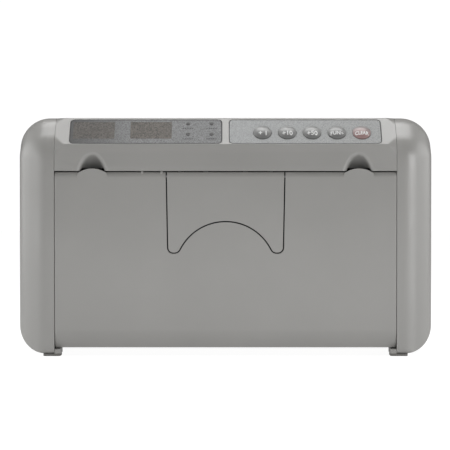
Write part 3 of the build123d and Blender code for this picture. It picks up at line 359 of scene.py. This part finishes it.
CASE = (0.410, 0.404, 0.388)
materials = {
    "case_plastic": moulded_plastic("case_plastic", CASE, rough=0.32, specular=1.0),
    "scooped_case": moulded_plastic("scooped_case", CASE, rough=0.32, specular=1.0, darker=painted_scoop_shade),
    "base_steel": moulded_plastic("base_steel", shade(CASE, 0.97), rough=0.4, grain=3000.0, depth=0.00002),
    "foot_rubber": rubber("foot_rubber", (0.20, 0.195, 0.185)),
    "zinc_steel": metal("zinc_steel", (0.52, 0.53, 0.54), rough=0.34),
    "bright_steel": metal("bright_steel", (0.62, 0.63, 0.64), rough=0.22, stretch=(60.0, 4.0, 4.0)),
    "spring_steel": metal("spring_steel", (0.30, 0.30, 0.31), rough=0.35),
    "inner_plastic": moulded_plastic("inner_plastic", (0.045, 0.046, 0.05), rough=0.5, wear=0.25),
    "black_plastic": moulded_plastic("black_plastic", (0.018, 0.018, 0.019), rough=0.42, wear=0.3),
    # label and display films: the left and right colours are painted light and shade across each plate
    "label_film": silver_film(
        "label_film", (0.312, 0.32, 0.321), (0.273, 0.279, 0.276), (0.01, 0.113), 0.2
    ),
    "display_film": silver_film(
        "display_film", (0.027, 0.027, 0.027), (0.160, 0.163, 0.164), (-0.113, -0.064), 0.4
    ),
    "smoked_window": smoked_window("smoked_window"),
    "indicator_lens": lens("indicator_lens", (0.115, 0.115, 0.112)),
    "grey_key": key_cap("grey_key", (0.41, 0.41, 0.405), (0.27, 0.27, 0.267)),
    "red_key": key_cap("red_key", (0.385, 0.36, 0.355), (0.48, 0.31, 0.30)),
    "circuit_board": circuit_board("circuit_board"),
    "bearing_brass": metal("bearing_brass", (0.50, 0.36, 0.16), rough=0.3),
    "roller_rubber": rubber("roller_rubber", (0.05, 0.046, 0.042), rough=0.7),
    "wheel_plastic": moulded_plastic("wheel_plastic", (0.66, 0.65, 0.60), rough=0.4, wear=0.1),
    "motor_metal": metal("motor_metal", (0.04, 0.04, 0.042), rough=0.4, metallic=0.2),
    "belt_rubber": rubber("belt_rubber", (0.02, 0.02, 0.02), rough=0.65, grain=2600.0),
    "transformer_iron": metal(
        "transformer_iron", (0.10, 0.085, 0.07), rough=0.5, stretch=(1.0, 1.0, 220.0), metallic=0.4
    ),
    "white_ink": print_ink("white_ink", (0.97, 0.97, 0.96)),
    # dark ink for the indicator marks, and painted shadow round the label plates
    "dark_ink_and_painted_shadow": print_ink("dark_ink_and_painted_shadow", (0.05, 0.051, 0.053)),
}


def paint(obj, name):
    obj.data.materials.clear()
    obj.data.materials.append(materials[name])


# the top cover takes the case material with painted shade in its thumb scoops
OWN_MATERIALS = {"display_plate": "display_film", "top_cover": "scooped_case"}
for part in frame["record"]["subparts"]:
    paint(nodes[part["node"]], OWN_MATERIALS.get(part["node"], part["material_slot"]))


# ---------------------------------------------------------------- printed legends
def slope_point(u, v, n):
    return (SLOPE_O + SLOPE_U * u + SLOPE_V * v + SLOPE_N * n) * MM


def dome_height(u, v):
    reach = min(u * u + v * v, KEY_RADIUS**2)
    return KEY_RIM + KEY_DOME - KEY_BALL + math.sqrt(KEY_BALL**2 - reach)


def flat_text(text, size, bold):
    """The outline of a short generic legend as a triangulated mesh, centred, in millimetres."""
    curve = bpy.data.curves.new("legend", "FONT")
    curve.body = text
    curve.size = size
    curve.offset = bold
    curve.align_x = "CENTER"
    curve.align_y = "CENTER"
    curve.resolution_u = 4
    holder = bpy.data.objects.new("legend", curve)
    scene.collection.objects.link(holder)
    bpy.context.view_layer.update()
    made = bpy.data.meshes.new_from_object(holder.evaluated_get(bpy.context.evaluated_depsgraph_get()))
    bpy.data.objects.remove(holder)
    bpy.data.curves.remove(curve)
    return made


def finish_mesh(mesh, name, material, body):
    obj = bpy.data.objects.new(name, mesh)
    scene.collection.objects.link(obj)
    paint(obj, material)
    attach(obj, body)


def key_legend(text, x, size, body, squeeze):
    """A white legend printed on a key's dome."""
    mesh = flat_text(text, size, LEGEND_BOLD)
    bm = bmesh.new()
    bm.from_mesh(mesh)
    bmesh.ops.triangulate(bm, faces=bm.faces)
    long_edges = [e for e in bm.edges if e.calc_length() > LEGEND_EDGE]
    bmesh.ops.subdivide_edges(bm, edges=long_edges, cuts=2, use_grid_fill=False)
    bmesh.ops.triangulate(bm, faces=bm.faces)
    us = [v.co.x for v in bm.verts]
    vs = [v.co.y for v in bm.verts]
    mid_u, mid_v = (min(us) + max(us)) / 2, (min(vs) + max(vs)) / 2
    for vert in bm.verts:
        u = (vert.co.x - mid_u) * squeeze
        v = vert.co.y - mid_v
        vert.co = slope_point(x + u, KEY_V + LEGEND_V + v, dome_height(u, v + LEGEND_V) + INK_RISE)
    bm.normal_update()
    if sum(f.normal.dot(SLOPE_N) * f.calc_area() for f in bm.faces) < 0:
        bmesh.ops.reverse_faces(bm, faces=bm.faces)
    bm.to_mesh(mesh)
    bm.free()
    finish_mesh(mesh, "legend_" + body, "white_ink", body)


# text, size, key, material slot, squeeze across
KEYS = [
    ("+ 1", 5.0, "key_plus_1", "grey_key", 1.0),
    ("+10", 5.0, "key_plus_10", "grey_key", 0.98),
    ("+50", 5.0, "key_plus_50", "grey_key", 0.98),
    ("FUN+", 4.0, "key_function", "grey_key", 0.95),
    ("CLEAR", 4.0, "key_clear", "red_key", 0.82),
]
for i, (text, size, node, slot_name, squeeze) in enumerate(KEYS):
    key_legend(text, KEY_FIRST_X + KEY_PITCH * i, size, node + "_cap", squeeze)


def print_and_painted_shadow(name, rings):
    """Dark ink and painted shadow on the label plates: one flat face for each ring of (u, v) corners."""
    bm = bmesh.new()
    verts = {}
    for ring in rings:
        for u, v in ring:
            if (u, v) not in verts:
                verts[u, v] = bm.verts.new(slope_point(u, v, FILM_N + INK_RISE))
        bm.faces.new([verts[corner] for corner in ring])
    mesh = bpy.data.meshes.new(name)
    bm.to_mesh(mesh)
    bm.free()
    finish_mesh(mesh, name, "dark_ink_and_painted_shadow", "frame")


def bar(u, v, width, height):
    """Corners of one printed bar round its middle."""
    return [(u + a * width / 2, v + b * height / 2) for a, b in ((-1, -1), (1, -1), (1, 1), (-1, 1))]


def rounded_outline(u0, u1, v0, v1, radius):
    """Points round a rectangle with rounded corners on the slope."""
    points = []
    for cu, cv, start in ((u1, v1, 0), (u0, v1, 90), (u0, v0, 180), (u1, v0, 270)):
        su, sv = (-1 if cu == u1 else 1), (-1 if cv == v1 else 1)
        for step in range(CORNER_STEPS + 1):
            a = math.radians(start + 90 * step / CORNER_STEPS)
            points.append((cu + radius * (su + math.cos(a)), cv + radius * (sv + math.sin(a))))
    return points


def painted_gap_line(name, u0, u1, v0, v1, width):
    """A thin dark line round the edge of a label plate: painted shadow where the plate meets its recess.
    """
    outer = rounded_outline(u0, u1, v0, v1, LABEL_CORNER)
    inner = rounded_outline(u0 + width, u1 - width, v0 + width, v1 - width, LABEL_CORNER - width)
    rings = []
    for i in range(len(outer)):
        j = (i + 1) % len(outer)
        rings.append([outer[i], outer[j], inner[j], inner[i]])
    print_and_painted_shadow(name, rings)


# painted shadow lines round both label plates, wider at the left
near, far, foot, top = LABEL
painted_gap_line("left_label_gap_shadow", -far, -near, foot, top, 0.55)
painted_gap_line("right_label_gap_shadow", near, far, foot, top, 0.4)

marks = []
for u in INDICATOR_U:
    for v in INDICATOR_V:
        for i, (width, height) in enumerate(MARK_SIZES):
            offset = MARK_PITCH * (i - (len(MARK_SIZES) - 1) / 2)
            marks.append(bar(u + offset, v - MARK_DROP, width, height))
print_and_painted_shadow("indicator_marks", marks)

# ---------------------------------------------------------------- floor, light and camera
FLOOR_GLOW = 0.305  # light that the pale floor sends back to the object
FLOOR_SEEN = 0.93  # how bright the camera sees it
FLOOR_HALF = 4.0
floor_mesh = bpy.data.meshes.new("floor")
floor_corners = [(a * FLOOR_HALF, b * FLOOR_HALF, 0) for a, b in ((-1, -1), (1, -1), (1, 1), (-1, 1))]
floor_mesh.from_pydata(floor_corners, [], [(0, 1, 2, 3)])
floor = bpy.data.objects.new("floor", floor_mesh)
scene.collection.objects.link(floor)
fg = Graph("floor_paper")
tone = fg.noise(3.0, 2.0, 0.5)
fg.link(fg.mix_rgb(tone, (0.24, 0.24, 0.24), (0.26, 0.26, 0.26)), fg.bsdf.inputs["Base Color"])
fg.bsdf.inputs["Roughness"].default_value = 0.9
fg.bsdf.inputs["Emission Color"].default_value = (1.0, 1.0, 1.0, 1.0)
glow = fg.span(fg.node("ShaderNodeLightPath").outputs["Is Camera Ray"], 0.0, 1.0, FLOOR_GLOW, FLOOR_SEEN)
fg.link(glow, fg.bsdf.inputs["Emission Strength"])
floor_mesh.materials.append(fg.material)

# the studio glows softly from both sides; the camera sees plain white behind the object
SIDE_GLOW_LEFT = 2.14
SIDE_GLOW_RIGHT = 1.63
WORLD_BASE = 0.01
WORLD_SEEN = 1.05
world = bpy.data.worlds.new("studio")
scene.world = world
world.use_nodes = True
sky = Nodes(world.node_tree)
split = sky.node("ShaderNodeSeparateXYZ")
sky.link(sky.node("ShaderNodeTexCoord").outputs["Generated"], split.inputs[0])
to_right = split.outputs["X"]
to_left = sky.math("MULTIPLY", to_right, -1.0)
left_glow = sky.span(to_left, 0.6, 0.98, 0.0, SIDE_GLOW_LEFT, "SMOOTHSTEP")
right_glow = sky.span(to_right, 0.6, 0.95, 0.0, SIDE_GLOW_RIGHT, "SMOOTHSTEP")
lit = sky.node("ShaderNodeBackground")
sky.link(sky.math("ADD", sky.math("ADD", left_glow, right_glow), WORLD_BASE), lit.inputs["Strength"])
seen = sky.node("ShaderNodeBackground")
seen.inputs["Strength"].default_value = WORLD_SEEN
for background in (lit, seen):
    background.inputs["Color"].default_value = (1.0, 1.0, 1.0, 1.0)
both = sky.node("ShaderNodeMixShader")
sky.link(sky.node("ShaderNodeLightPath").outputs["Is Camera Ray"], both.inputs[0])
sky.link(lit.outputs[0], both.inputs[1])
sky.link(seen.outputs[0], both.inputs[2])
sky.link(both.outputs[0], sky.node("ShaderNodeOutputWorld").inputs["Surface"])


def area_light(name, where, aim, width, height, power):
    data = bpy.data.lights.new(name, "AREA")
    data.shape = "RECTANGLE"
    data.size = width
    data.size_y = height
    data.energy = power
    obj = bpy.data.objects.new(name, data)
    scene.collection.objects.link(obj)
    obj.location = where
    obj.rotation_euler = (Vector(aim) - Vector(where)).to_track_quat("-Z", "Y").to_euler()


# name, place, point aimed at, width, height (metres), power (watts)
LIGHTS = [
    ("top_softbox", (0.03, 0.15, 1.2), (0.0, 0.05, 0.1), 1.2, 0.7, 8.15),
    ("right_softbox", (1.04, -1.23, 0.22), (0.14, -0.07, 0.09), 0.42, 1.0, 1.12),
    ("left_softbox", (-1.14, -0.95, 0.35), (-0.14, -0.07, 0.09), 0.6, 1.0, 1.52),
    ("table_bounce", (0.0, -0.30, 0.012), (0.0, -0.07, 0.06), 0.5, 0.16, 0.146),
    ("right_low", (0.75, -0.88, 0.14), (0.14, -0.07, 0.03), 0.5, 0.5, 2.3),
    ("left_low", (-0.75, -0.8, 0.16), (-0.14, -0.07, 0.03), 0.4, 0.3, 0.44),
]
for light in LIGHTS:
    area_light(*light)

# the camera looks level with the control slope, a little downwards
CAMERA_DISTANCE = 1.35
CAMERA_RISE = math.radians(1.1)
FRAME_WIDTH = 0.3232  # width of the view at the front cover
AIM = Vector((-0.0004, -0.070, 0.0944))
camera_data = bpy.data.cameras.new("camera")
camera = bpy.data.objects.new("camera", camera_data)
scene.collection.objects.link(camera)
camera_data.sensor_width = 36.0
camera_data.lens = camera_data.sensor_width * CAMERA_DISTANCE / FRAME_WIDTH
camera_data.clip_start = 0.05
camera_data.clip_end = 50.0
camera.location = AIM + Vector((0.0, -math.cos(CAMERA_RISE), math.sin(CAMERA_RISE))) * CAMERA_DISTANCE
camera.rotation_euler = (AIM - camera.location).to_track_quat("-Z", "Y").to_euler()
scene.camera = camera
